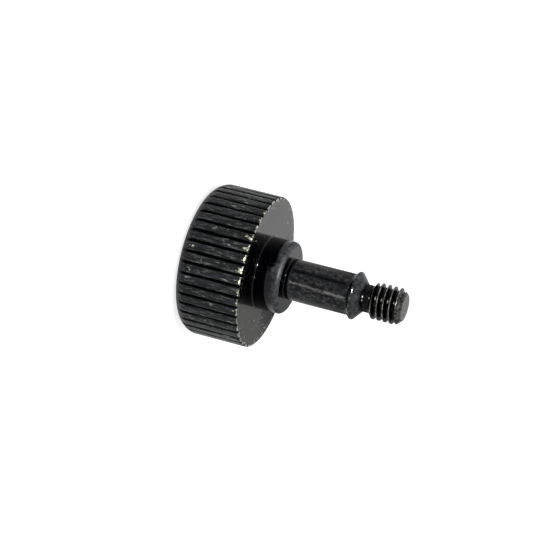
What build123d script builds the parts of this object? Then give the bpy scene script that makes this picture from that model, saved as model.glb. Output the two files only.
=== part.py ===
from build123d import *
import os
from math import radians, tan

# Thumb screw, turned from one bar: a ribbed head, a plain collar, a smooth shank with
# a raised ridge near its end, a necked-down relief and a short M6 thread.
# Millimetres. The screw stands on its head, with its axis on +Z and the thread on top.

# Head
head_diameter = 24.0
head_length = 10.9
head_edge_reach = 2.6  # how far in from the side the rounded outer edge starts
head_edge_height = 2.5  # how far up the side it ends
head_edge_fullness = 0.55  # share of the way to the corner that the edge's curve is drawn
under_edge_chamfer = 0.2  # narrow bevel round the under-face

# Ribs, left standing between V grooves cut along the head's side
rib_count = 43
groove_depth = 0.3
groove_root_width = 0.1
groove_angle = 90.0  # included angle of a groove's two flanks
rib_turn = 0.8  # where the first groove lies, in degrees from +X

# Collar under the head
collar_diameter = 11.5
collar_length = 4.1
collar_chamfer = 0.4

# Smooth shank
shank_diameter = 6.5
shank_length = 10.25
foot_bevel = 0.15  # what the tool's nose leaves in the corner at the foot of collar and shank

# Retaining ridge: a short steep rise, a narrow crest and a cone down to the neck
ridge_diameter = 7.5
ridge_rise_length = 0.5
ridge_crest_length = 0.25
ridge_cone_length = 1.4

# Neck, the relief that the thread runs out into
neck_diameter = 4.3
neck_length = 1.15

# Thread, M6 x 1, right-handed
thread_diameter = 5.8
thread_pitch = 1.0
thread_length = 5.25
thread_angle = 60.0  # included angle of two flanks
thread_lead_length = 0.45  # cone from the neck up to the first full turn
tip_chamfer = 0.85
thread_start_turn = 90.0  # where round the axis the groove begins, in degrees from +X

# Radii and heights that follow from the above
head_radius = head_diameter / 2
collar_radius = collar_diameter / 2
shank_radius = shank_diameter / 2
ridge_radius = ridge_diameter / 2
neck_radius = neck_diameter / 2
thread_radius = thread_diameter / 2
collar_top = head_length + collar_length
shank_top = collar_top + shank_length
crest_bottom = shank_top + ridge_rise_length
crest_top = crest_bottom + ridge_crest_length
neck_bottom = crest_top + ridge_cone_length
thread_bottom = neck_bottom + neck_length
tip = thread_bottom + thread_length

# The rib groove's cutter reaches as far outside the head as the groove goes in
groove_slope = tan(radians(groove_angle / 2))
rib_cutter_half = groove_root_width / 2 + 2 * groove_depth * groove_slope

# One turn's groove: 17/24 of the sharp V deep, and 7/8 of the pitch wide at the crests
thread_slope = tan(radians(thread_angle / 2))
thread_depth = thread_pitch / 2 / thread_slope * 17 / 24
crest_half = thread_pitch * 7 / 16
root_half = crest_half - thread_depth * thread_slope
cutter_proud = thread_pitch / 20  # how far its cutter stands out of the crests
proud_half = crest_half + cutter_proud * thread_slope

# The groove starts in the middle of the neck, where it meets no metal, and ends past
# the tip
groove_bottom = neck_bottom + neck_length / 2
groove_height = tip + thread_pitch - groove_bottom

with BuildPart() as thumb_screw:
    # The head's blank, rounded at its outer edge and bevelled at the under-face
    with BuildSketch(Plane.XZ):
        with BuildLine():
            outer_face = Line((0, 0), (head_radius - head_edge_reach, 0))
            rounded_edge = Bezier(
                outer_face @ 1,
                (head_radius - (1 - head_edge_fullness) * head_edge_reach, 0),
                (head_radius, (1 - head_edge_fullness) * head_edge_height),
                (head_radius, head_edge_height),
            )
            Polyline(rounded_edge @ 1, (head_radius, head_length), (0, head_length), (0, 0))
        make_face()
    revolve(axis=Axis.Z)
    chamfer(edges().group_by(Axis.Z)[-1], under_edge_chamfer)

    # The ribs. Each groove runs out where the rounded edge falls below its root.
    with BuildSketch():
        with PolarLocations(head_radius, rib_count, start_angle=rib_turn):
            Polygon(
                (-groove_depth, -groove_root_width / 2),
                (groove_depth, -rib_cutter_half),
                (groove_depth, rib_cutter_half),
                (-groove_depth, groove_root_width / 2),
                align=None,
            )
    extrude(amount=head_length, mode=Mode.SUBTRACT)

    # Everything beyond the under-face, turned as one profile
    with BuildSketch(Plane.XZ):
        with BuildLine():
            Polyline(
                (0, head_length / 2),
                (collar_radius, head_length / 2),
                (collar_radius, collar_top),
                (shank_radius, collar_top),
                (shank_radius, shank_top),
                (ridge_radius, crest_bottom),
                (ridge_radius, crest_top),
                (neck_radius, neck_bottom),
                (neck_radius, thread_bottom),
                (thread_radius, thread_bottom + thread_lead_length),
                (thread_radius, tip),
                (0, tip),
                close=True,
            )
        make_face()
    revolve(axis=Axis.Z)

    # Bevels on the tip and on the collar's front edge, and in the two inner corners
    def rings_at(height):
        rings = edges().filter_by(GeomType.CIRCLE).filter_by_position(Axis.Z, height, height)
        return rings.sort_by(SortBy.RADIUS)

    chamfer(rings_at(tip), tip_chamfer)
    chamfer(rings_at(collar_top)[-1], collar_chamfer)
    chamfer(rings_at(collar_top)[0], foot_bevel)
    chamfer(rings_at(head_length)[0], foot_bevel)

    # The thread groove, swept up the right-handed helix with its section square to the path
    groove_path = Helix(
        thread_pitch, groove_height, thread_radius, center=(0, 0, groove_bottom), mode=Mode.PRIVATE
    ).rotate(Axis.Z, thread_start_turn)
    groove_start = groove_path @ 0
    outward = Vector(groove_start.X, groove_start.Y, 0)
    with BuildSketch(Plane(origin=groove_start, x_dir=outward, z_dir=groove_path % 0)):
        Polygon(
            (-thread_depth, -root_half),
            (cutter_proud, -proud_half),
            (cutter_proud, proud_half),
            (-thread_depth, root_half),
            align=None,
        )
    sweep(path=groove_path, is_frenet=True, mode=Mode.SUBTRACT)

thumb_screw.part.label = "thumb_screw"
os.makedirs("parts", exist_ok=True)
export_step(thumb_screw.part, "parts/thumb_screw.step")
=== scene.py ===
import bpy
import bmesh
from math import asin, atan2, cos, exp, pi, radians, sin, sqrt, tan
from mathutils import Matrix, Vector, noise


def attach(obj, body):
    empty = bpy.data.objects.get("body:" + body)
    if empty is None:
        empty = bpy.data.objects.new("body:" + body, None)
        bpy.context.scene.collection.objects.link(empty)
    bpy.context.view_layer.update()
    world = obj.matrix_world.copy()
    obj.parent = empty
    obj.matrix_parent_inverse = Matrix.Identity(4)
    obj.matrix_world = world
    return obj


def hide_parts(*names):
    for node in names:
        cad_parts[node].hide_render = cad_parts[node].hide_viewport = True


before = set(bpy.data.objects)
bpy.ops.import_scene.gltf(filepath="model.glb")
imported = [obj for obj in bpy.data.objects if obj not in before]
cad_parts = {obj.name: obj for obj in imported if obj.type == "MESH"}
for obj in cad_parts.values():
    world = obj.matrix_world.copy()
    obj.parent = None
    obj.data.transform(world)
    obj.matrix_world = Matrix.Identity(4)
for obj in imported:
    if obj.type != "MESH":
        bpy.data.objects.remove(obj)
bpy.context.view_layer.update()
bpy.context.scene.view_settings.view_transform = "Standard"
print("frame loaded")

mm = 0.001


def addObject(name, data):
    piece = bpy.data.objects.new(name, data)
    bpy.context.scene.collection.objects.link(piece)
    return piece


# The turned form, in mm: the outer face lies at z = 0 and the thread's tip is on top
formSet = {
    "headRadius": 12.0,
    "headLength": 10.9,
    "collarRadius": 5.75,
    "collarTop": 15.0,
    "shankRadius": 3.25,
    "shankTop": 25.25,
    "tip": 33.8,
}

# The photograph's camera: a long lens on the thread's side, rolled so that the axis runs right
cameraSet = {
    "frameSize": 540,  # pixels
    "focal": 2476,  # pixels
    "sensor": 36.0,
    "spot": (266.1, 272.4),  # pixel of the under-face's centre
    "distance": 384.4,
    "tilt": 17.2,  # degrees that the camera stands above the under-face
    "turn": 14.4,  # degrees that the axis drops towards the tip
}


def addCamera(settings):
    half = settings["frameSize"] / 2
    focal = settings["focal"]
    spotX, spotY = settings["spot"]
    tilt, turn = radians(settings["tilt"]), radians(settings["turn"])
    ray = Vector(((spotX - half) / focal, (half - spotY) / focal, -1)).normalized()
    along = Vector((cos(turn), -sin(turn), 0))
    along = (along - ray * along.dot(ray)).normalized()
    rowZ = along * cos(tilt) - ray * sin(tilt)
    rowY = (ray - rowZ * ray.dot(rowZ)).normalized()
    rowX = rowY.cross(rowZ)
    toRow = Matrix((rowX, rowY, rowZ))  # from the camera's axes to the frame's
    data = bpy.data.cameras.new("photoCamera")
    data.lens = settings["sensor"] * focal / settings["frameSize"]
    data.sensor_width = settings["sensor"]
    data.clip_start, data.clip_end = 0.01, 20
    camera = addObject("photoCamera", data)
    target = Vector((0, 0, formSet["headLength"])) * mm
    place = target - toRow @ (ray * settings["distance"] * mm)
    camera.matrix_world = Matrix.Translation(place) @ toRow.to_4x4()
    bpy.context.scene.camera = camera


addCamera(cameraSet)
print("camera placed")


# Steps that more than one part of the screw needs

def chainOf(bm, points, closed=False):
    # a line of vertices in the XZ plane, from (radius, height) points
    verts = [bm.verts.new((r, 0, z)) for r, z in points]
    pairs = list(zip(verts, verts[1:])) + ([(verts[-1], verts[0])] if closed else [])
    return verts, [bm.edges.new(pair) for pair in pairs]


def spinRound(bm, geom, angle, steps, rise=0, **options):
    # a spin about the screw's axis, which may rise with each step
    bmesh.ops.spin(
        bm, geom=geom, cent=(0, 0, 0), axis=(0, 0, 1), dvec=(0, 0, rise), angle=angle,
        steps=steps, **options,
    )


def openEdges(bm):
    return [edge for edge in bm.edges if edge.is_boundary]


def closeEnds(bm):
    bmesh.ops.holes_fill(bm, edges=openEdges(bm), sides=0)
    bmesh.ops.recalc_face_normals(bm, faces=bm.faces)


def roundedLine(corners, steps, beside=0.02):
    # corners are (radius, height, rounding); each rounded one becomes an arc tangent to both
    # sides, with one more point close beside each end, so that the flats next to it shade flat
    points = [Vector(corners[0][:2])]
    for before, corner, after in zip(corners, corners[1:], corners[2:]):
        here = Vector(corner[:2])
        back = (Vector(before[:2]) - here).normalized()
        on = (Vector(after[:2]) - here).normalized()
        if not corner[2]:
            points.append(here)
            continue
        half = back.angle(on) / 2
        centre = here + (back + on).normalized() * (corner[2] / sin(half))
        run = corner[2] / tan(half)
        start, end = here + back * run - centre, here + on * run - centre
        turn = start.angle_signed(end)
        points.append(here + back * (run + beside))
        for k in range(steps + 1):
            points.append(centre + Matrix.Rotation(-turn * k / steps, 2) @ start)
        points.append(here + on * (run + beside))
    points.append(Vector(corners[-1][:2]))
    return [tuple(point) for point in points]


def smoothMax(a, b, blend):
    return (a + b + sqrt((a - b) ** 2 + blend ** 2)) / 2


# Head: a round blank with V grooves along its side, and ribs left between them
headSet = {
    "edgeReach": 2.6,  # how far in from the side the rounded outer edge starts
    "edgeHeight": 2.5,
    "rimRound": 0.32,  # rounding where the ribs end at the under-face
    "rimClear": 0.1,  # how far below that rounding a rib takes its last shape
    "rimLeast": 0.08,  # radians; a column that would turn by less keeps a sharp rim
    "ribs": 43,
    "ribTurn": 0.8,  # degrees from +X to a groove's middle
    "grooveDepth": 0.36,
    "rootHalf": 0.04,
    "mouthHalf": 0.3,
    "wander": 0.09,  # how unevenly the old cutter left the grooves
    "sway": (0.3, 0.5),  # the noise that bends a groove: its rate per mm, and its slice
    "widening": (0.5, 9.5),  # the noise that widens it
    "grooveStep": 3.7,  # from one groove to the next in both
    "rootRound": 0.05,
    "shoulderRound": 0.09,
    "crown": 0.03,  # how much a rib's land falls from its middle to its sides
    "relief": 0.015,  # shallow dents all over the ribs
    "dents": [(24, 0.7, 0.7), (60, 1.8, 0.4)],  # rates round and along the axis, and weight
    "dentLift": 0.6,
    "columns": 24,  # to a rib
    "edgeRows": 14,
    "sideRows": 34,
    "rimRows": 5,
    "rimFlat": 11.62,  # a ring close to the rim, so that the under-face shades flat
    "innerRing": 11.3,  # radius at which the fine columns of the under-face end
    "welds": (1e-3, 1e-4),  # merging distance of the copies, and of the shaped head
    "wornAndGlintWidth": 0.42,
    # worn places: degrees round the axis, mm up the side, reach along the rib, strength
    "wornAndGlintPlaces": [
        (-86.5, 10.5, 0.7, 1.0), (-95.5, 10.7, 0.35, 0.8), (-103, 10.4, 0.6, 0.8),
        (-111.5, 10.3, 0.7, 0.75), (-78.5, 10.75, 0.35, 0.8), (-70.5, 10.8, 0.3, 0.8),
        (-62.3, 10.75, 0.3, 0.75), (-54, 10.4, 0.5, 0.5), (-120, 10.6, 0.4, 0.6),
        (-128, 10.7, 0.3, 0.6), (-137, 10.75, 0.3, 0.6), (-45.5, 10.7, 0.3, 0.6),
        (-95.5, 2.1, 0.5, 0.8), (-79, 2.5, 0.4, 0.6), (-37, 5.5, 0.6, 0.6),
        (-38.5, 3.0, 0.35, 0.5), (-86, 8.1, 0.3, 0.45), (-69.5, 7.7, 0.9, 0.4),
        (-113, 4.9, 0.6, 0.4), (-87, 2.2, 0.35, 0.45), (35, 10.4, 0.6, 0.9),
        (61, 10.7, 0.4, 0.8), (98, 10.5, 0.6, 0.9), (140, 3.0, 0.5, 0.7),
        (170, 10.6, 0.5, 0.9),
    ],
}


def ribRadius(azimuth, height):
    # the side's radius there, and the groove's depth from 0 on a rib to 1 at its root
    s = headSet
    pitch = 2 * pi / s["ribs"]
    place = (azimuth - radians(s["ribTurn"])) / pitch
    groove = round(place)
    across = (place - groove) * pitch * formSet["headRadius"]
    groove = groove % s["ribs"] * s["grooveStep"]
    rate, level = s["sway"]
    across = abs(across + s["wander"] * 0.5 * noise.noise((groove, height * rate, level)))
    rate, level = s["widening"]
    mouth = s["mouthHalf"] + s["wander"] * noise.noise((groove, height * rate, level))
    slope = s["grooveDepth"] / (s["mouthHalf"] - s["rootHalf"])
    depth = smoothMax((mouth - across) * slope, 0, s["shoulderRound"])
    depth = s["grooveDepth"] - smoothMax(s["grooveDepth"] - depth, 0, s["rootRound"])
    halfPitch = pitch / 2 * formSet["headRadius"]
    crown = s["crown"] * (1 - across / halfPitch) ** 2
    dent = s["dentLift"] + sum(
        noise.noise((around * cos(azimuth), around * sin(azimuth), height * along)) * weight
        for around, along, weight in s["dents"]
    )
    radius = formSet["headRadius"] - depth - crown - s["relief"] * max(0, dent)
    return radius, depth / s["grooveDepth"]


def headPoint(row, radius):
    # where a row of the grid lies on the column whose side stands at this radius
    s = headSet
    outer, length = formSet["headRadius"], formSet["headLength"]
    reach, rim = s["edgeReach"], s["rimRound"]
    last = s["edgeRows"]
    lean = asin(min(1.0, (radius - outer + reach) / reach))
    if row <= last:
        angle = lean * row / last
        return outer - reach + reach * sin(angle), s["edgeHeight"] * (1 - cos(angle))
    low = s["edgeHeight"] * (1 - cos(lean))
    rimAngle = asin(min(1.0, max(0.0, (radius - outer + rim) / rim)))
    rimAngle = rimAngle if rimAngle > s["rimLeast"] else 0.0
    high = length - rim + rim * cos(rimAngle)
    row -= last
    if row <= s["sideRows"]:
        return radius, low + (high - low) * row / s["sideRows"]
    row -= s["sideRows"]
    if row <= s["rimRows"]:
        angle = rimAngle * (1 - row / s["rimRows"])
        inward = outer - rim if rimAngle else radius
        return inward + rim * sin(angle), length - rim + rim * cos(angle)
    row -= s["rimRows"]
    return (min(radius, s["rimFlat"]) if row == 1 else s["innerRing"]), length


def wornAndGlintHere(vert, places, width):
    azimuth, radius = atan2(vert.co.y, vert.co.x), vert.co.xy.length
    total = 0
    for degrees, middle, reach, strength in places:
        arc = ((azimuth - radians(degrees) + pi) % (2 * pi) - pi) * radius
        if abs(arc) < 3 * width:
            total += strength * exp(-((arc / width) ** 2) - ((vert.co.z - middle) / reach) ** 2)
    return total


def buildHead():
    s = headSet
    bm = bmesh.new()
    rowOf = bm.verts.layers.int.new("row")
    grooveOf = bm.verts.layers.float.new("groove")
    wornAndGlintOf = bm.verts.layers.float.new("wornAndGlint")
    rows = s["edgeRows"] + s["sideRows"] + s["rimRows"] + 3
    verts, edges = chainOf(bm, [headPoint(row, formSet["headRadius"]) for row in range(rows)])
    for row, vert in enumerate(verts):
        vert[rowOf] = row
    # one rib's share of the head first, then its copies round the axis
    pitch = 2 * pi / s["ribs"]
    spinRound(bm, verts + edges, pitch, s["columns"])
    rib = bm.verts[:] + bm.edges[:] + bm.faces[:]
    spinRound(bm, rib, 2 * pi - pitch, s["ribs"] - 1, use_duplicate=True)
    bmesh.ops.remove_doubles(bm, verts=bm.verts, dist=s["welds"][0])
    lastShape = formSet["headLength"] - s["rimRound"] - s["rimClear"]
    for vert in bm.verts:
        azimuth = atan2(vert.co.y, vert.co.x)
        side, groove = ribRadius(azimuth, min(vert.co.z, lastShape))
        radius, height = headPoint(vert[rowOf], side)
        vert.co = (radius * cos(azimuth), radius * sin(azimuth), height)
        vert[grooveOf] = groove
        vert[wornAndGlintOf] = wornAndGlintHere(vert, s["wornAndGlintPlaces"], s["wornAndGlintWidth"])
    bmesh.ops.remove_doubles(bm, verts=bm.verts, dist=s["welds"][1])
    face = [edge for edge in openEdges(bm) if edge.verts[0].co.z < s["edgeHeight"]]
    bmesh.ops.holes_fill(bm, edges=face, sides=0)
    return bm


# Stem: collar, shank, ridge, neck and the rod that the thread is cut in
stemSet = {
    "columns": 192,
    "steps": 6,  # to a rounded corner
    "weld": 1e-5,
    "ridgeRadius": 3.75,
    "ridgeLow": 25.75,
    "ridgeHigh": 26.0,
    "neckRadius": 2.15,
    "neckLow": 27.4,
    "neckHigh": 28.55,
    "threadLow": 29.0,
    "threadRadius": 2.9,
    "tipBevel": 0.85,
    "innerRing": 6.3,
    "plug": 1.0,  # how far the stem runs into the head while the thread is cut
    # roundings of the corners, in mm
    "footRound": 0.22,
    "collarRound": 0.75,
    "ridgeRounds": (0.25, 0.1, 0.12),
    "neckRounds": (0.3, 0.2),
    "threadRounds": (0.1, 0.1, 0.12),
    # worn places as on the head; those at -97 degrees are painted highlights, bare spots where
    # glints show on the collar's foot and in the thread's roots; those on the ridge's crest near
    # -100 degrees are wear and painted highlight at once
    "wornAndGlintWidth": 0.5,
    "wornAndGlintPlaces": [
        (-95, 25.98, 0.07, 0.68), (-104, 25.98, 0.07, 0.55), (-50, 25.98, 0.08, 0.5),
        (30, 25.98, 0.09, 0.8), (-97, 11.04, 0.12, 0.64), (-97, 29.456, 0.2, 1.1),
        (-97, 30.456, 0.2, 1.0), (-97, 31.456, 0.2, 1.1), (-97, 32.456, 0.2, 0.95),
    ],
}


def buildStem():
    s = stemSet
    base, collar, shank = formSet["headLength"], formSet["collarRadius"], formSet["shankRadius"]
    top, shankTop, tip = formSet["collarTop"], formSet["shankTop"], formSet["tip"]
    corners = [
        (s["innerRing"], base - s["plug"], 0),
        (s["innerRing"], base, 0),
        (collar, base, s["footRound"]),
        (collar, top, s["collarRound"]),
        (shank, top, s["footRound"]),
        (shank, shankTop, s["ridgeRounds"][0]),
        (s["ridgeRadius"], s["ridgeLow"], s["ridgeRounds"][1]),
        (s["ridgeRadius"], s["ridgeHigh"], s["ridgeRounds"][2]),
        (s["neckRadius"], s["neckLow"], s["neckRounds"][0]),
        (s["neckRadius"], s["neckHigh"], s["neckRounds"][1]),
        (s["threadRadius"], s["threadLow"], s["threadRounds"][0]),
        (s["threadRadius"], tip - s["tipBevel"], s["threadRounds"][1]),
        (s["threadRadius"] - s["tipBevel"], tip, s["threadRounds"][2]),
        (0, tip, 0),
    ]
    bm = bmesh.new()
    verts, edges = chainOf(bm, roundedLine(corners, s["steps"]))
    spinRound(bm, verts + edges, 2 * pi, s["columns"], use_merge=True)
    bmesh.ops.remove_doubles(bm, verts=bm.verts, dist=s["weld"])
    closeEnds(bm)
    return bm


# Thread: one V groove, right-handed, from the middle of the neck to past the tip
threadSet = {
    "pitch": 1.0,
    "crestHalf": 0.4375,  # half of the groove's width at the crests
    "flank": 30.0,  # degrees from the axis's normal
    "depth": 0.6134,
    "proud": 0.06,  # how far the cutter stands out of the crests
    "rootRound": 0.1,
    "rootSteps": 3,
    "start": 27.975,
    "startTurn": 90.0,  # degrees from +X
    "turns": 7,
    "columns": 120,  # to a turn
}


def buildCutter():
    s = threadSet
    slope = tan(radians(s["flank"]))
    crest = stemSet["threadRadius"]
    root, outer = crest - s["depth"], crest + s["proud"]
    wide, narrow = s["crestHalf"] + s["proud"] * slope, s["crestHalf"] - s["depth"] * slope
    corners = [
        (outer, -wide, 0),
        (root, -narrow, s["rootRound"]),
        (root, narrow, s["rootRound"]),
        (outer, wide, 0),
    ]
    bm = bmesh.new()
    verts, edges = chainOf(bm, roundedLine(corners, s["rootSteps"]), closed=True)
    turn = Matrix.Rotation(radians(s["startTurn"]), 4, "Z")
    bmesh.ops.transform(bm, matrix=Matrix.Translation((0, 0, s["start"])) @ turn, verts=bm.verts)
    steps, rise = s["turns"] * s["columns"], s["pitch"] / s["columns"]
    spinRound(bm, verts + edges, 2 * pi * s["turns"], steps, rise)
    closeEnds(bm)
    return bm


def objectOf(bm, name):
    mesh = bpy.data.meshes.new(name)
    bm.to_mesh(mesh)
    bm.free()
    return addObject(name, mesh)


def cutThread(stem, cutter):
    cut = stem.modifiers.new("thread", "BOOLEAN")
    cut.operation, cut.solver, cut.object = "DIFFERENCE", "EXACT", cutter
    graph = bpy.context.evaluated_depsgraph_get()
    mesh = bpy.data.meshes.new_from_object(stem.evaluated_get(graph))
    for part in (stem, cutter):
        old = part.data
        bpy.data.objects.remove(part)
        bpy.data.meshes.remove(old)
    return mesh


# The whole screw, and which finish a face gets: its place in the order is its material's,
# as they are added further down
screwSet = {
    "finishOrder": ["ribbed", "flat", "turned", "thread"],
    "neckShare": 0.6,  # mm of the neck's upper end that has the thread's finish
    "flatNormal": 0.99,  # least part along the axis that a flat face's normal has
    "rimShare": 0.1,  # mm inside the rim's rounding that still has the ribs' finish
    "stemFrom": 0.01,  # mm above the under-face
    "weld": 2e-4,
    "shortest": 1e-5,  # shorter edges are dissolved
    "smoothUpTo": 32,  # degrees; sharper edges stay sharp
}


def finishOf(face):
    s = screwSet
    height, radius = face.calc_center_median().z, face.calc_center_median().xy.length
    if height > stemSet["neckHigh"] - s["neckShare"]:
        return "thread"
    foot = radius < formSet["collarRadius"] and height > headSet["edgeHeight"]
    if foot or height > formSet["headLength"] + s["stemFrom"]:
        return "turned"
    inside = radius < formSet["headRadius"] - headSet["rimRound"] - s["rimShare"]
    return "flat" if inside and abs(face.normal.z) > s["flatNormal"] else "ribbed"


def buildScrew():
    s = screwSet
    stemMesh = cutThread(objectOf(buildStem(), "stem"), objectOf(buildCutter(), "threadCutter"))
    print("thread cut")
    base = formSet["headLength"]
    cut = bmesh.new()
    cut.from_mesh(stemMesh)
    plugLow = base - stemSet["plug"] + s["weld"]
    plug = [face for face in cut.faces if min(vert.co.z for vert in face.verts) < plugLow]
    bmesh.ops.delete(cut, geom=plug, context="FACES")
    cut.to_mesh(stemMesh)
    cut.free()
    bm = buildHead()
    print("ribs shaped")
    bm.from_mesh(stemMesh)
    bpy.data.meshes.remove(stemMesh)
    bmesh.ops.bridge_loops(bm, edges=openEdges(bm))
    bmesh.ops.remove_doubles(bm, verts=bm.verts, dist=s["weld"])
    bmesh.ops.dissolve_degenerate(bm, edges=bm.edges, dist=s["shortest"])
    bmesh.ops.recalc_face_normals(bm, faces=bm.faces)
    wornAndGlintOf = bm.verts.layers.float["wornAndGlint"]
    for vert in bm.verts:
        if vert.co.z > base + s["stemFrom"] and vert.co.xy.length < formSet["headRadius"] / 2:
            vert[wornAndGlintOf] = wornAndGlintHere(vert, stemSet["wornAndGlintPlaces"], stemSet["wornAndGlintWidth"])
    for face in bm.faces:
        face.smooth = True
        face.material_index = s["finishOrder"].index(finishOf(face))
    for edge in bm.edges:
        edge.smooth = edge.is_manifold and edge.calc_face_angle() < radians(s["smoothUpTo"])
    bmesh.ops.scale(bm, vec=(mm, mm, mm), verts=bm.verts)
    gaps = [edge for edge in bm.edges if not edge.is_manifold]
    print(f"screw mesh: {len(bm.verts)} vertices, {len(bm.faces)} faces, {len(gaps)} open edges")
    return objectOf(bm, "turnedScrew")


screw = buildScrew()
print("screw built")


# Effects that the finishes share

even = (1000, 1000, 1000)  # from metres to mm, the same all ways


def addNode(tree, kind, inputs=None, **settings):
    # inputs are plain values, or the outputs that feed them
    node = tree.nodes.new("ShaderNode" + kind)
    for name, value in settings.items():
        setattr(node, name, value)
    for name, value in (inputs or {}).items():
        if isinstance(value, bpy.types.NodeSocket):
            tree.links.new(value, node.inputs[name])
        else:
            node.inputs[name].default_value = value
    return node


def blendColours(tree, share, a, b):
    return addNode(tree, "Mix", {0: share, 6: a, 7: b}, data_type="RGBA").outputs[2]


def blendValues(tree, share, a, b):
    return addNode(tree, "Mix", {0: share, 2: a, 3: b}).outputs[0]


def combine(tree, operation, a, b):
    return addNode(tree, "Math", {0: a, 1: b}, operation=operation).outputs[0]


def times(tree, a, b):
    return combine(tree, "MULTIPLY", a, b)


def plus(tree, a, b):
    return combine(tree, "ADD", a, b)


def most(tree, first, *others):
    for other in others:
        first = combine(tree, "MAXIMUM", first, other)
    return first


def onObject(tree):
    # the place on the object, in metres
    return addNode(tree, "TexCoord").outputs["Object"]


def partsOf(tree, place):
    return addNode(tree, "SeparateXYZ", {0: place}).outputs


def stretchedPlace(tree, stretch):
    place = onObject(tree)
    return addNode(tree, "VectorMath", {0: place, 1: stretch}, operation="MULTIPLY").outputs[0]


def lengthOf(tree, place):
    return addNode(tree, "VectorMath", {0: place}, operation="LENGTH").outputs["Value"]


def newEffect(name, inputs, outputs):
    tree = bpy.data.node_groups.new(name, "ShaderNodeTree")
    for label, kind, value in inputs:
        kind = "NodeSocket" + kind
        tree.interface.new_socket(label, in_out="INPUT", socket_type=kind).default_value = value
    for label, kind in outputs:
        tree.interface.new_socket(label, in_out="OUTPUT", socket_type="NodeSocket" + kind)
    return tree, tree.nodes.new("NodeGroupInput").outputs, tree.nodes.new("NodeGroupOutput").inputs


def specksEffect():
    # spots and streaks: where a stretched noise rises above a level
    tree, given, out = newEffect("specks", [
        ("Stretch", "Vector", even), ("Scale", "Float", 1.0),
        ("Level", "Float", 0.6), ("Softness", "Float", 0.1),
    ], [("Mask", "Float"), ("Value", "Float")])
    field = addNode(tree, "TexNoise", {
        "Vector": stretchedPlace(tree, given["Stretch"]), "Scale": given["Scale"],
        "Detail": 3.0, "Roughness": 0.6,
    })
    top = plus(tree, given["Level"], given["Softness"])
    mask = addNode(tree, "MapRange", {
        "Value": field.outputs[0], "From Min": given["Level"], "From Max": top,
    }, interpolation_type="SMOOTHSTEP")
    tree.links.new(mask.outputs[0], out["Mask"])
    tree.links.new(field.outputs[0], out["Value"])
    return tree


def turnMarksEffect():
    # fine rings left by the lathe: noise along the profile only
    tree, given, out = newEffect("turnMarks", [
        ("Marks per mm", "Float", 8.0), ("Unevenness", "Float", 0.3),
    ], [("Height", "Float")])
    radius = lengthOf(tree, stretchedPlace(tree, (1, 1, 0)))
    along = plus(tree, radius, partsOf(tree, onObject(tree))["Z"])
    marks = times(tree, times(tree, along, 1000.0), given["Marks per mm"])
    drift = stretchedPlace(tree, (60, 60, 0))
    moved = addNode(tree, "VectorMath", {0: drift, "Scale": given["Unevenness"]}, operation="SCALE")
    line = addNode(tree, "CombineXYZ", {"Z": marks})
    where = addNode(tree, "VectorMath", {0: moved.outputs[0], 1: line.outputs[0]}, operation="ADD")
    rings = addNode(tree, "TexNoise", {
        "Vector": where.outputs[0], "Scale": 1.0, "Detail": 2.0, "Roughness": 0.5,
    })
    tree.links.new(rings.outputs[0], out["Height"])
    return tree


def scratchesEffect():
    # thin broken lines along the level line of a stretched noise
    tree, given, out = newEffect("scratches", [
        ("Stretch", "Vector", even), ("Scale", "Float", 0.4),
        ("Width", "Float", 0.01), ("Cover", "Float", 0.5),
    ], [("Mask", "Float")])
    place = stretchedPlace(tree, given["Stretch"])
    field = addNode(tree, "TexNoise", {
        "Vector": place, "Scale": given["Scale"], "Detail": 1.0, "Distortion": 0.4,
    })
    gap = addNode(tree, "Math", {0: plus(tree, field.outputs[0], -0.5)}, operation="ABSOLUTE")
    line = addNode(tree, "MapRange", {
        "Value": gap.outputs[0], "From Min": 0.0, "From Max": given["Width"],
        "To Min": 1.0, "To Max": 0.0,
    })
    breaks = addNode(tree, "TexNoise", {"Vector": place, "Scale": 0.9, "Detail": 2.0})
    top = plus(tree, given["Cover"], 0.08)
    kept = addNode(tree, "MapRange", {
        "Value": breaks.outputs[0], "From Min": given["Cover"], "From Max": top,
    })
    tree.links.new(times(tree, line.outputs[0], kept.outputs[0]), out["Mask"])
    return tree


def mottleEffect():
    # two tones of the black that drift into each other
    tree, given, out = newEffect("mottle", [
        ("Dark", "Color", (0.002, 0.002, 0.0024, 1)), ("Light", "Color", (0.012, 0.013, 0.016, 1)),
        ("Stretch", "Vector", even), ("Scale", "Float", 1.0),
        ("Low", "Float", 0.35), ("High", "Float", 0.65),
    ], [("Color", "Color"), ("Value", "Float")])
    field = addNode(tree, "TexNoise", {
        "Vector": stretchedPlace(tree, given["Stretch"]), "Scale": given["Scale"],
        "Detail": 4.0, "Roughness": 0.65,
    })
    share = addNode(tree, "MapRange", {
        "Value": field.outputs[0], "From Min": given["Low"], "From Max": given["High"],
    })
    colour = blendColours(tree, share.outputs[0], given["Dark"], given["Light"])
    tree.links.new(colour, out["Color"])
    tree.links.new(share.outputs[0], out["Value"])
    return tree


specks, turnMarks = specksEffect(), turnMarksEffect()
scratches, mottle = scratchesEffect(), mottleEffect()


def addEffect(tree, effect, **inputs):
    node = tree.nodes.new("ShaderNodeGroup")
    node.node_tree = effect
    for name, value in inputs.items():
        node.inputs[name.replace("_", " ")].default_value = value
    return node.outputs


def ramp(tree, value, low, high, outLow=0.0, outHigh=1.0):
    node = addNode(tree, "MapRange", {
        "Value": value, "From Min": low, "From Max": high, "To Min": outLow, "To Max": outHigh,
    }, interpolation_type="SMOOTHSTEP")
    return node.outputs[0]


def fade(tree, value, low, high):
    return ramp(tree, value, low, high, 1.0, 0.0)


def outside(tree, mask):
    return fade(tree, mask, 0.0, 1.0)


def brokenUp(tree, mask, field, amount):
    # a noise field makes the mask's edge ragged
    return plus(tree, mask, times(tree, plus(tree, field, -0.5), amount))


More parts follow.
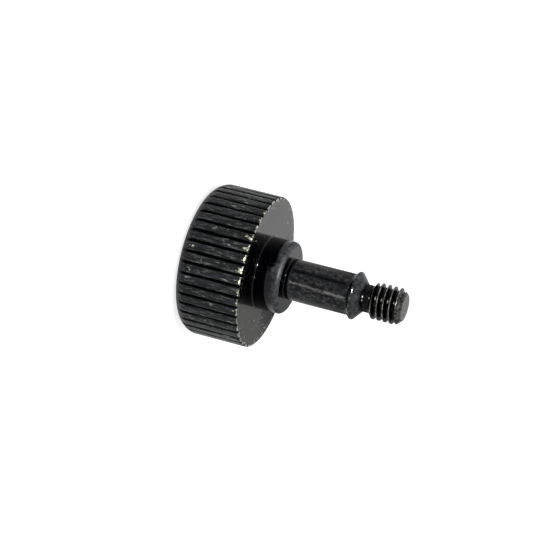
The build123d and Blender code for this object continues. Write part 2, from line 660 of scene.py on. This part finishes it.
def attribute(tree, name):
    return addNode(tree, "Attribute", attribute_name=name).outputs["Fac"]


def upTheScrew(tree):
    # mm from the outer face
    return times(tree, partsOf(tree, onObject(tree))["Z"], 1000.0)


def fromAxis(tree):
    return lengthOf(tree, stretchedPlace(tree, (1000, 1000, 0)))


def awayFrom(tree, where, spot):
    away = addNode(tree, "VectorMath", {0: where, 1: spot}, operation="DISTANCE")
    return away.outputs["Value"]


def chipsAndGlintsAt(tree, chipsAndGlints, stretch=(1, 1, 1)):
    # small spots of bare steel, each at a point in mm and with its reach; a stretch below 1
    # lengthens them
    where = stretchedPlace(tree, stretch)
    near = []
    for x, y, height, reach in chipsAndGlints:
        away = awayFrom(tree, where, Vector((x, y, height)) * Vector(stretch) * mm)
        near.append(fade(tree, away, reach * mm * 0.3, reach * mm))
    return most(tree, *near)


def newMaterial(name, inputs):
    material = bpy.data.materials.new(name)
    material.use_nodes = True
    shader = material.node_tree.nodes["Principled BSDF"]
    for label, value in inputs.items():
        shader.inputs[label].default_value = value
    return material, material.node_tree, shader


def steelAndBlackInto(tree, shader, tone, steelColour, mask, roughness, steelRoughness, sootAndShade=None):
    # bare steel shows where the mask is full, for wear and for painted highlights,
    # and nothing shines where the black mask lies, for soot and for painted shade
    tree.links.new(blendColours(tree, mask, tone, steelColour), shader.inputs["Base Color"])
    metal = mask if sootAndShade is None else most(tree, mask, sootAndShade)
    tree.links.new(metal, shader.inputs["Metallic"])
    tree.links.new(blendValues(tree, mask, roughness, steelRoughness), shader.inputs["Roughness"])


def bumpInto(tree, shader, *layers):
    # layers are (metres, height) or (metres, height, strength), the lowest one first
    below = None
    for distance, height, *strength in layers:
        bump = addNode(tree, "Bump", {"Distance": distance, "Height": height})
        if strength:
            tree.links.new(strength[0], bump.inputs["Strength"])
        if below:
            tree.links.new(below, bump.inputs["Normal"])
        below = bump.outputs[0]
    tree.links.new(below, shader.inputs["Normal"])


# Ribbed finish: worn blacking, with pale specks along the ribs and bare steel at their ends,
# painted shade in the grooves and a painted highlight along the rib shoulders.
# Four numbers to a ramp: where it starts and ends, and what it gives there.
ribbedSet = {
    "ior": 1.3,
    "dark": (0.0008, 0.001, 0.0014, 1),
    "light": (0.058, 0.072, 0.094, 1),
    "root": (0.0006, 0.0007, 0.001, 1),
    "dustAndHighlightColour": (0.27, 0.295, 0.265, 1),
    "rubbed": (0.36, 0.385, 0.26, 1),  # thin, yellowish edge of a bare place
    "pale": (0.52, 0.54, 0.52, 1),  # flecks
    "bare": (0.44, 0.45, 0.335, 1),
    "roughness": (0.35, 0.65, 0.24, 0.5),
    "bareRoughness": 0.58,
    # patterns
    "tone": {"Stretch": (1000, 1000, 170), "Scale": 3.2, "Low": 0.47, "High": 0.75},
    "streaks": {"Stretch": (1000, 1000, 130), "Scale": 3.8, "Level": 0.56, "Softness": 0.14},
    "flecks": {"Stretch": (1000, 1000, 210), "Scale": 4.0, "Level": 0.6, "Softness": 0.09},
    "breaks": {"Stretch": (1000, 1000, 600), "Scale": 3.4, "Level": 0.5, "Softness": 0.1},
    "lots": {"Stretch": (1000, 1000, 120), "Scale": 0.45, "Level": 0.38, "Softness": 0.2},
    "crowd": {"Stretch": (1000, 1000, 500), "Scale": 0.42, "Level": 0.44, "Softness": 0.14},
    # ramps over the groove's depth, 0 on a rib and 1 at its root; painted shade in the grooves
    "grooveShade": (0.06, 0.4),
    "grooveShadeBlack": (0.06, 0.6, 0.0, 0.93),
    # a pale line along each rib's shoulders is a painted highlight
    "shoulderHighlight": [(0.0, 0.04), (0.06, 0.16)],  # a pale line comes in, and goes out
    # ramps for the bare places
    "breakUp": 2.4,
    "bareFrom": (0.5, 0.85),
    "rimHeights": (10.55, 10.85),
    "rimBare": (0.42, 0.55, 0.0, 0.8),
    "crowdShare": (0.0, 1.0, 0.26, 0.62),
    "steelFrom": (0.7, 1.05),
    "tintedFrom": (0.05, 0.25),
    # pale dust on the lands, a painted highlight along the rib shoulders, and darker lots of ribs
    "dustShare": 0.4,
    "shoulderHighlightShare": (0.46, 0.66, 0.0, 0.45),
    "lotShare": (0.0, 1.0, 0.35, 1.0),
    "dentHeight": 0.00002,
    "pitHeight": 0.00001,
}


def ribbedFinish():
    s = ribbedSet
    material, tree, shader = newMaterial("ribbedFinish", {"IOR": s["ior"]})
    tone = addEffect(tree, mottle, Dark=s["dark"], Light=s["light"], **s["tone"])
    streaks, flecks, breaks, lots, crowd = [
        addEffect(tree, specks, **s[name])
        for name in ("streaks", "flecks", "breaks", "lots", "crowd")
    ]
    depth, wornAndGlint = attribute(tree, "groove"), attribute(tree, "wornAndGlint")
    # painted shade: the grooves take the root's black colour
    groove = ramp(tree, depth, *s["grooveShade"])
    land = outside(tree, groove)
    # bare places: painted reach, broken up by noise
    reach = brokenUp(tree, wornAndGlint, breaks["Value"], s["breakUp"])
    rim = times(tree, ramp(tree, upTheScrew(tree), *s["rimHeights"]), breaks["Value"])
    bare = most(
        tree,
        ramp(tree, reach, *s["bareFrom"]),
        ramp(tree, rim, *s["rimBare"]),
        times(tree, flecks["Mask"], ramp(tree, crowd["Mask"], *s["crowdShare"])),
    )
    bare = times(tree, bare, land)
    steel = blendColours(tree, ramp(tree, reach, *s["steelFrom"]), s["rubbed"], s["bare"])
    steel = blendColours(tree, ramp(tree, wornAndGlint, *s["tintedFrom"]), s["pale"], steel)
    comesIn, goesOut = s["shoulderHighlight"]
    shoulderHighlight = times(tree, ramp(tree, depth, *comesIn), fade(tree, depth, *goesOut))
    # dust on the lands, and the painted highlight along the shoulders
    dustAndHighlight = most(
        tree,
        times(tree, streaks["Mask"], times(tree, land, s["dustShare"])),
        times(tree, shoulderHighlight, ramp(tree, streaks["Value"], *s["shoulderHighlightShare"])),
    )
    black = blendColours(tree, ramp(tree, lots["Mask"], *s["lotShare"]), s["root"], tone["Color"])
    colour = blendColours(tree, groove, blendColours(tree, dustAndHighlight, black, s["dustAndHighlightColour"]), s["root"])
    roughness = ramp(tree, streaks["Value"], *s["roughness"])
    # painted shade: the grooves become black metal, so that they do not shine
    sootAndShade = ramp(tree, depth, *s["grooveShadeBlack"])
    steelAndBlackInto(tree, shader, colour, steel, bare, roughness, s["bareRoughness"], sootAndShade)
    bumpInto(
        tree, shader, (s["dentHeight"], streaks["Value"]), (s["pitHeight"], breaks["Value"])
    )
    return material


# Flat finish: under-face and outer face, faced smooth, with dull and oily patches, scratches, chips
flatSet = {
    "ior": 1.48,
    "dark": (0.0006, 0.0008, 0.0012, 1),
    "light": (0.0024, 0.0026, 0.0026, 1),
    # the long dull patch's darker colour
    "dullColour": (0.002, 0.0025, 0.004, 1),
    "olive": (0.03, 0.034, 0.014, 1),  # old oil on one half of the under-face
    "bare": (0.7, 0.69, 0.58, 1),
    "roughness": (0.2, 0.9, 0.03, 0.07),
    "dullRoughness": 0.4,
    "oiledRoughness": 0.2,
    "scratchedRoughness": 0.7,
    "bareRoughness": 0.35,
    # patterns
    "tone": {"Scale": 0.5},
    "patches": {"Scale": 0.32, "Level": 0.5, "Softness": 0.08},
    "spots": {"Scale": 2.6, "Level": 0.67, "Softness": 0.05},
    "oil": {"Scale": 1.3, "Low": 0.3, "High": 0.75},
    "scratches": {"Scale": 0.45, "Width": 0.006, "Cover": 0.52},
    "rings": {"Marks_per_mm": 7.0, "Unevenness": 0.4},
    "ringHeight": 0.0000006,
    # the dull patch is long: in m, its ends, and in mm, how ragged it is and where it fades
    "dullEnds": [(0.0063, 0.004, 0.0109), (0.0079, 0.0093, 0.0109)],
    "dullRagged": 3.5,
    "dullEdge": (7.9, 10.9),
    # the oil lies beyond this many mm along X
    "oilRagged": 4.0,
    "oilEdge": (7.6, 8.8),
    # bare spots
    "spotShare": 0.25,
    "scratchShare": 0.03,
    "rimRadii": (10.2, 11.6),
    "rimSpots": (0.6, 0.66, 0.0, 0.9),
    "duller": 0.8,  # how far scratches take their own roughness
    "chipAndGlintShare": 0.5,
    "chipStretch": (1, 0.3, 1),
    "chipsAndGlints": [
        (7.0, 3.7, 10.9, 0.16), (7.75, 0.25, 10.9, 0.15), (8.5, 6.35, 10.9, 0.2),
        (10.35, 4.3, 10.9, 0.16), (8.05, 5.2, 10.9, 0.13), (9.4, 6.2, 10.9, 0.14),
        (-8.4, 4.6, 10.9, 0.14), (-4.2, -9.0, 10.9, 0.16),
    ],
}


def flatFinish():
    s = flatSet
    material, tree, shader = newMaterial("flatFinish", {"IOR": s["ior"]})
    tone = addEffect(tree, mottle, Dark=s["dark"], Light=s["light"], **s["tone"])
    oil = addEffect(tree, mottle, Dark=s["dark"], Light=s["olive"], **s["oil"])
    patches, spots = addEffect(tree, specks, **s["patches"]), addEffect(tree, specks, **s["spots"])
    fine = addEffect(tree, scratches, **s["scratches"])["Mask"]
    rings = addEffect(tree, turnMarks, **s["rings"])
    where = onObject(tree)
    away = times(tree, plus(tree, *[awayFrom(tree, where, end) for end in s["dullEnds"]]), 1000.0)
    ragged = times(tree, patches["Value"], s["dullRagged"])
    dull = fade(tree, plus(tree, away, ragged), *s["dullEdge"])
    side = times(tree, partsOf(tree, where)["X"], 1000.0)
    ragged = times(tree, patches["Value"], s["oilRagged"])
    oiled = ramp(tree, plus(tree, side, ragged), *s["oilEdge"])
    colour = blendColours(tree, oiled, tone["Color"], oil["Color"])
    colour = blendColours(tree, dull, colour, s["dullColour"])
    rim = ramp(tree, fromAxis(tree), *s["rimRadii"])
    bare = most(
        tree,
        times(tree, spots["Mask"], s["spotShare"]),
        times(tree, fine, s["scratchShare"]),
        times(tree, rim, ramp(tree, spots["Value"], *s["rimSpots"])),
        times(tree, chipsAndGlintsAt(tree, s["chipsAndGlints"], s["chipStretch"]), s["chipAndGlintShare"]),
    )
    roughness = ramp(tree, tone["Value"], *s["roughness"])
    for mask, level in (
        (times(tree, oiled, oil["Value"]), s["oiledRoughness"]),
        (dull, s["dullRoughness"]),
        (times(tree, fine, s["duller"]), s["scratchedRoughness"]),
    ):
        roughness = blendValues(tree, mask, roughness, level)
    steelAndBlackInto(tree, shader, colour, s["bare"], bare, roughness, s["bareRoughness"])
    bumpInto(tree, shader, (s["ringHeight"], rings["Height"]))
    return material


# Turned finish: collar, shank and ridge, glossy, with lathe rings, dusty places and fine scratches,
# a painted highlight streak, a painted dark reflection and painted glints, and a black neck
turnedSet = {
    "ior": 1.3,
    "dark": (0.0008, 0.001, 0.0018, 1),
    "light": (0.1, 0.105, 0.112, 1),
    "collar": (0.0008, 0.001, 0.002, 1),
    # handled end of the collar, and the cone
    "haze": [(0.006, 0.007, 0.009, 1), (0.09, 0.1, 0.112, 1)],
    # the neck is made black, so that it does not shine
    "neckBlack": (0.0012, 0.001, 0.002, 1),
    "bare": (0.58, 0.58, 0.56, 1),
    "roughness": (0.1, 0.9, 0.14, 0.36),
    "collarRoughness": 0.05,
    "roundRoughness": 0.52,
    "neckRoughness": 0.5,
    "bareRoughness": 0.35,
    # patterns
    "tone": {"Stretch": (1000, 1000, 620), "Scale": 2.1, "Low": 0.44, "High": 0.78},
    "hazy": {"Stretch": (1000, 1000, 700), "Scale": 1.5},
    "drift": {"Stretch": (1000, 1000, 400), "Scale": 0.7},
    "rubbed": {"Stretch": (1000, 1000, 260), "Scale": 2.2, "Level": 0.58, "Softness": 0.14},
    "flecks": {"Stretch": (1000, 1000, 800), "Scale": 3.6, "Level": 0.65, "Softness": 0.06},
    "scratches": {"Stretch": (1000, 1000, 220), "Scale": 0.7, "Width": 0.012, "Cover": 0.5},
    "rings": {"Marks_per_mm": 7.0, "Unevenness": 0.3},
    # heights in mm where a place begins, or ends
    "shankFrom": (15.6, 15.85),  # its foot stays polished
    "frontFrom": (13.7, 14.7),
    "ridgeFrom": (24.0, 25.0),
    "linesEnd": (25.0, 25.3),
    "sootEnd": (25.2, 25.7),
    "coneFrom": (25.9, 26.2),
    "neckBlackFrom": (26.9, 27.4),
    "neckFrom": (27.1, 27.5),
    "roundingFrom": (14.1, 14.4),
    "roundingEnd": (15.02, 15.1),
    # radii in mm
    "frontRadii": (4.9, 5.2),
    "crestRadii": (3.66, 3.74),
    # how much bare steel shows
    "fleckShare": 0.12,
    "scratchShare": 0.08,
    # the ridge's crest: bare steel, as wear and as a painted highlight
    "crestWearAndHighlight": (0.46, 0.66, 0.0, 0.16),
    "breakUp": 1.2,
    "wornAndGlintBare": (0.45, 0.9, 0.0, 0.8),
    "streakWeight": 0.5,
    "streakBare": (1.1, 1.7, 0.0, 0.34),
    "chipAndGlintShare": 0.22,
    # painted highlights: bare spots where the neck shows glints
    "chipsAndGlints": [(-0.03, -2.2, 27.5, 0.22), (0.5, -2.08, 27.55, 0.3)],
    # haze over the blacking, a painted dark reflection along the shank, and soot
    "shankCover": (0.0, 1.0, 0.5, 1.0),
    "frontCover": 0.9,
    "darkLineShare": (0.1, 0.6, 0.75, 1.0),
    "stainSoot": 0.9,
    "toneSoot": (0.0, 0.6, 0.4, 0.0),
    "frontRings": 0.4,
    "ringShare": (0.0, 1.0, 0.06, 1.0),
    "ringHeight": 0.000004,
    "dentHeight": 0.00001,
    # lines along the shank, a painted highlight and a painted dark reflection: degrees round the
    # axis at its foot, degrees gained up to the ridge, half width in mm
    "highlightStreak": (-81.5, 7.0, 0.55),
    "darkLine": (-115.5, 2.0, 0.7),
}


def lineAlong(tree, line):
    turn, gain, half = line
    parts = partsOf(tree, onObject(tree))
    around = combine(tree, "ARCTAN2", parts["Y"], parts["X"])
    wanted = addNode(tree, "MapRange", {
        "Value": parts["Z"],
        "From Min": formSet["collarTop"] * mm, "From Max": formSet["shankTop"] * mm,
        "To Min": radians(turn), "To Max": radians(turn + gain),
    })
    away = combine(tree, "SUBTRACT", around, wanted.outputs[0])
    gap = addNode(tree, "Math", {0: away}, operation="ABSOLUTE")
    return fade(tree, times(tree, gap.outputs[0], formSet["shankRadius"]), 0.0, half)


def turnedFinish():
    s = turnedSet
    material, tree, shader = newMaterial("turnedFinish", {"IOR": s["ior"]})
    tone = addEffect(tree, mottle, Dark=s["dark"], Light=s["light"], **s["tone"])
    haze = addEffect(tree, mottle, Dark=s["haze"][0], Light=s["haze"][1], **s["hazy"])
    drift = addEffect(tree, mottle, **s["drift"])
    rubbed, flecks = addEffect(tree, specks, **s["rubbed"]), addEffect(tree, specks, **s["flecks"])
    fine = addEffect(tree, scratches, **s["scratches"])
    rings = addEffect(tree, turnMarks, **s["rings"])
    height, radius = upTheScrew(tree), fromAxis(tree)
    # places on the screw; the front is the collar's outer end, where fingers reach
    shank = ramp(tree, height, *s["shankFrom"])
    outer = ramp(tree, radius, *s["frontRadii"])
    front = times(tree, ramp(tree, plus(tree, height, drift["Value"]), *s["frontFrom"]), outer)
    crest = ramp(tree, radius, *s["crestRadii"])
    crest = times(tree, crest, ramp(tree, height, *s["ridgeFrom"]))
    cone = ramp(tree, height, *s["coneFrom"])
    neck = ramp(tree, height, *s["neckFrom"])
    lines = fade(tree, height, *s["linesEnd"])
    # bare steel: wear, and painted highlights: the streak along the shank and the glints
    # painted highlight: a pale streak of bare steel along the shank
    line = lineAlong(tree, s["highlightStreak"])
    streak = times(tree, times(tree, line, times(tree, shank, lines)), s["streakWeight"])
    streak = plus(tree, streak, plus(tree, rubbed["Value"], flecks["Value"]))
    reach = brokenUp(tree, attribute(tree, "wornAndGlint"), flecks["Value"], s["breakUp"])
    bare = most(
        tree,
        times(tree, flecks["Mask"], times(tree, most(tree, shank, front), s["fleckShare"])),
        times(tree, fine["Mask"], times(tree, shank, s["scratchShare"])),
        times(tree, crest, ramp(tree, rubbed["Value"], *s["crestWearAndHighlight"])),
        ramp(tree, reach, *s["wornAndGlintBare"]),
        times(tree, chipsAndGlintsAt(tree, s["chipsAndGlints"]), s["chipAndGlintShare"]),
        times(tree, ramp(tree, streak, *s["streakBare"]), line),
    )
    # a painted dark reflection as a line along the shank, and the neck made black
    darkLineAndNeck = times(tree, shank, ramp(tree, drift["Value"], *s["darkLineShare"]))
    darkLineAndNeck = times(tree, times(tree, lineAlong(tree, s["darkLine"]), darkLineAndNeck), lines)
    darkLineAndNeck = most(tree, darkLineAndNeck, neck)
    cover = times(tree, shank, ramp(tree, drift["Value"], *s["shankCover"]))
    cover = most(tree, cover, times(tree, front, s["frontCover"]))
    cover = times(tree, cover, outside(tree, darkLineAndNeck))
    tones = blendColours(tree, most(tree, front, cone), tone["Color"], haze["Color"])
    # the neck is made black and unshining
    neckBlack = ramp(tree, height, *s["neckBlackFrom"])
    colour = blendColours(tree, cover, s["collar"], tones)
    colour = blendColours(tree, neckBlack, colour, s["neckBlack"])
    # roughness: the neck is dull, and so is the collar's rounding
    rounding = ramp(tree, height, *s["roundingEnd"], s["roundRoughness"], 0.0)
    rounding = times(tree, ramp(tree, height, *s["roundingFrom"]), rounding)
    level = most(
        tree,
        ramp(tree, tone["Value"], *s["roughness"]),
        ramp(tree, height, *s["neckFrom"], 0.0, s["neckRoughness"]),
        times(tree, rounding, outer),
    )
    roughness = blendValues(tree, most(tree, shank, front), s["collarRoughness"], level)
    sootAndShade = times(tree, shank, ramp(tree, tone["Value"], *s["toneSoot"]))
    sootAndShade = times(tree, sootAndShade, fade(tree, height, *s["sootEnd"]))
    sootAndShade = most(tree, sootAndShade, times(tree, darkLineAndNeck, s["stainSoot"]), neckBlack)
    steelAndBlackInto(tree, shader, colour, s["bare"], bare, roughness, s["bareRoughness"], sootAndShade)
    ringed = ramp(tree, most(tree, shank, times(tree, front, s["frontRings"])), *s["ringShare"])
    ringed = times(tree, rings["Height"], ringed)
    bumpInto(
        tree, shader, (s["ringHeight"], ringed), (s["dentHeight"], rubbed["Value"], shank)
    )
    return material


# Thread finish: black flanks in painted shade, crests pale from wear and a painted highlight,
# painted glints in the roots, a duller tip
threadFinishSet = {
    "ior": 1.35,
    "dark": (0.0006, 0.0007, 0.0009, 1),
    "light": (0.014, 0.014, 0.013, 1),
    "tip": [(0.002, 0.002, 0.002, 1), (0.12, 0.115, 0.09, 1)],
    "end": (0.033, 0.032, 0.027, 1),
    "bare": (0.6, 0.6, 0.58, 1),
    "roughness": (0.1, 0.9, 0.1, 0.3),
    "bareRoughness": 0.35,
    # patterns
    "tone": {"Scale": 1.6},
    "oldTip": {"Scale": 1.9, "Low": 0.45, "High": 0.64},
    "rubbed": {"Scale": 1.6, "Level": 0.6, "Softness": 0.1},
    "flecks": {"Scale": 4.0, "Level": 0.66, "Softness": 0.05},
    # heights in mm
    "tipFrom": (32.9, 33.05),
    "endFrom": (33.6, 33.78),
    "relief": (28.6, 28.9, 0.95, 0.0),
    # radii in mm
    "crestRadii": (2.84, 2.9),
    "rootRadii": (2.42, 2.54),
    "flankFrom": (2.34, 2.42, 0.82, 1.0),
    "flankEnd": (2.76, 2.84),
    # how much bare steel shows
    # the crests: bare steel, as wear from the nut and as a painted highlight along their edges
    "crestWearAndHighlight": (0.36, 0.6, 0.16, 0.5),
    "fleckShare": 0.2,
    "endBare": (0.42, 0.62, 0.0, 0.17),
    # painted highlights: bare steel in the roots where glints show
    "glints": (0.7, 0.95),
    "chipAndGlintShare": 0.8,
    # painted highlight: a bare spot where the neck shows a glint
    "chipsAndGlints": [(-0.1, -2.17, 28.52, 0.2)],
    "endShare": 0.65,
    "pitHeight": 0.000004,
}


def threadFinish():
    s = threadFinishSet
    material, tree, shader = newMaterial("threadFinish", {"IOR": s["ior"]})
    tone = addEffect(tree, mottle, Dark=s["dark"], Light=s["light"], **s["tone"])
    oldTip = addEffect(tree, mottle, Dark=s["tip"][0], Light=s["tip"][1], **s["oldTip"])
    rubbed, flecks = addEffect(tree, specks, **s["rubbed"]), addEffect(tree, specks, **s["flecks"])
    radius, height = fromAxis(tree), upTheScrew(tree)
    tip = ramp(tree, height, *s["tipFrom"])
    turns = outside(tree, tip)
    end = ramp(tree, height, *s["endFrom"])
    crest = times(tree, ramp(tree, radius, *s["crestRadii"]), turns)
    root = times(tree, fade(tree, radius, *s["rootRadii"]), turns)
    bare = most(
        tree,
        times(tree, crest, ramp(tree, rubbed["Value"], *s["crestWearAndHighlight"])),
        times(tree, flecks["Mask"], s["fleckShare"]),
        times(tree, end, ramp(tree, rubbed["Value"], *s["endBare"])),
        times(tree, root, ramp(tree, attribute(tree, "wornAndGlint"), *s["glints"])),
        times(tree, chipsAndGlintsAt(tree, s["chipsAndGlints"]), s["chipAndGlintShare"]),
    )
    # painted shade makes the flanks black and unshining, the neck's upper end is made black too,
    # oil in the roots
    flank = ramp(tree, radius, *s["flankFrom"])
    flank = times(tree, flank, fade(tree, radius, *s["flankEnd"]))
    sootAndShade = times(tree, most(tree, flank, ramp(tree, height, *s["relief"])), turns)
    colour = blendColours(tree, tip, tone["Color"], oldTip["Color"])
    colour = blendColours(tree, times(tree, end, s["endShare"]), colour, s["end"])
    roughness = ramp(tree, tone["Value"], *s["roughness"])
    steelAndBlackInto(tree, shader, colour, s["bare"], bare, roughness, s["bareRoughness"], sootAndShade)
    bumpInto(tree, shader, (s["pitHeight"], flecks["Value"]))
    return material


# in the finishOrder of screwSet
for finish in (ribbedFinish(), flatFinish(), turnedFinish(), threadFinish()):
    screw.data.materials.append(finish)
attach(screw, "root")
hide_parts("thumb_screw")
print("finishes applied")


# Studio: a white floor, a pale room that is dark behind the camera, and soft lamps
studioSet = {
    "floorSize": 3.0,
    "floorColour": (0.5, 0.5, 0.5, 1),
    "floorRoughness": 0.9,
    "seenLift": 0.76,  # what the floor gains in the camera's eye, so that it is white
    "mirroredLift": 0.55,  # and in reflections
    "blackCard": (0.005, 0.005, 0.005, 1),
    "aim": (0, 0, 0.015),
    # lamps: place in m, watts, size in m
    "lamps": {
        "keyLamp": ((-0.16, -0.6, 0.7), 2.4, 0.12),
        "sideLamp": ((0.33, -0.75, 0.42), 1.2, 0.1),
        "glintLamp": ((-0.16, -0.6, 0.7), 30.0, 0.1),
    },
    "highlightsOnly": ["glintLamp"],
}


def addFloor(settings):
    bm = bmesh.new()
    bmesh.ops.create_grid(bm, x_segments=1, y_segments=1, size=settings["floorSize"])
    floor = objectOf(bm, "floor")
    material, tree, shader = newMaterial("paleFloor", {
        "Base Color": settings["floorColour"], "Roughness": settings["floorRoughness"],
        "Specular IOR Level": 0.0, "Emission Color": (1, 1, 1, 1),
    })
    path = addNode(tree, "LightPath")
    seen = times(tree, path.outputs["Is Camera Ray"], settings["seenLift"])
    mirrored = times(tree, path.outputs["Is Glossy Ray"], settings["mirroredLift"])
    tree.links.new(most(tree, seen, mirrored), shader.inputs["Emission Strength"])
    floor.data.materials.append(material)


# The room's light, by direction: 0 on the camera's side, 1 behind the screw and overhead
roomSet = {
    "behind": (-0.75, 0.5),
    "overhead": (0.5, 0.8),
    "greyer": (-0.006, 0.008, 1.0, 0.5),  # the back wall's right half
    "level": (0.0, 1.0, 0.03, 1.0),
}


def addRoom(settings):
    world = bpy.data.worlds.new("room")
    bpy.context.scene.world = world
    world.use_nodes = True
    tree = world.node_tree
    tree.nodes.clear()
    parts = partsOf(tree, addNode(tree, "TexCoord").outputs["Generated"])
    behind = ramp(tree, parts["Y"], *settings["behind"])
    overhead = ramp(tree, parts["Z"], *settings["overhead"])
    behind = times(tree, behind, ramp(tree, parts["X"], *settings["greyer"]))
    level = ramp(tree, most(tree, behind, overhead), *settings["level"])
    path = addNode(tree, "LightPath")
    seen = most(tree, level, path.outputs["Is Camera Ray"])
    light = addNode(tree, "Background", {"Strength": seen})
    out = addNode(tree, "OutputWorld")
    tree.links.new(light.outputs[0], out.inputs["Surface"])


def addLamps(settings):
    for name, (where, power, size) in settings["lamps"].items():
        data = bpy.data.lights.new(name, "AREA")
        data.shape = "DISK"
        data.size = size
        data.energy = power
        lamp = addObject(name, data)
        aim = Vector(settings["aim"]) - Vector(where)
        turn = aim.to_track_quat("-Z", "Y").to_matrix().to_4x4()
        lamp.matrix_world = Matrix.Translation(where) @ turn
        lamp.visible_diffuse = name not in settings["highlightsOnly"]


def onlyMirrored(piece):
    # a black piece that reflections alone can see
    black = {"Base Color": studioSet["blackCard"], "Specular IOR Level": 0.0}
    material, tree, shader = newMaterial(piece.name + "Black", black)
    piece.data.materials.append(material)
    piece.visible_camera = piece.visible_diffuse = piece.visible_shadow = False
    return tree, shader


# A narrow black flag to the screw's left: the collar mirrors it
flagSet = {
    "distance": 22.0,  # mm from the axis
    "start": (7.85, 9.05),  # mm, its lower and upper edge near the camera
    "end": (6.1, 7.3),
    "from": -95.0,  # degrees round the axis
    "to": -240.0,
    "columns": 24,
}


def addFlag(s):
    bm = bmesh.new()
    verts, edges = chainOf(bm, [(s["distance"], low) for low in s["start"]])
    first = Matrix.Rotation(radians(s["from"]), 3, "Z")
    bmesh.ops.rotate(bm, verts=verts, cent=(0, 0, 0), matrix=first)
    drop = (sum(s["end"]) - sum(s["start"])) / 2
    turn, steps = radians(s["to"] - s["from"]), s["columns"]
    spinRound(bm, verts + edges, turn, steps, drop / steps)
    bmesh.ops.scale(bm, vec=(mm, mm, mm), verts=bm.verts)
    onlyMirrored(objectOf(bm, "flag"))


# A small black flag behind the screw, mirrored in the under-face beside the collar
backFlagSet = {
    "away": 20.0,
    "corners": [  # (x, height)
        (4.5, 11.1), (10.5, 11.1), (10.1, 11.7), (10.4, 12.3), (9.7, 12.6), (9.5, 13.3),
        (8.4, 13.9), (7.9, 14.9), (6.2, 15.8), (4.5, 17.6),
    ],
}


def addBackFlag(settings):
    bm = bmesh.new()
    verts, edges = chainOf(bm, settings["corners"], closed=True)
    bmesh.ops.contextual_create(bm, geom=edges)
    bmesh.ops.translate(bm, vec=(0, settings["away"], 0), verts=verts)
    bmesh.ops.scale(bm, vec=(mm, mm, mm), verts=verts)
    onlyMirrored(objectOf(bm, "backFlag"))


# A black card on the floor behind the screw keeps the outlines dark
cardSet = {
    "half": 1.4,
    "near": 0.02,
    "full": 0.09,  # where its soft front edge ends
    "height": 0.0004,
}


def addCard(s):
    bm = bmesh.new()
    bmesh.ops.create_grid(bm, x_segments=1, y_segments=1, size=s["half"])
    bmesh.ops.translate(bm, vec=(0, s["near"] + s["half"], s["height"]), verts=bm.verts)
    tree, shader = onlyMirrored(objectOf(bm, "card"))
    away = partsOf(tree, onObject(tree))["Y"]
    tree.links.new(ramp(tree, away, s["near"], s["full"]), shader.inputs["Alpha"])


addFloor(studioSet)
addRoom(roomSet)
addFlag(flagSet)
addBackFlag(backFlagSet)
addCard(cardSet)
addLamps(studioSet)
print("studio built")
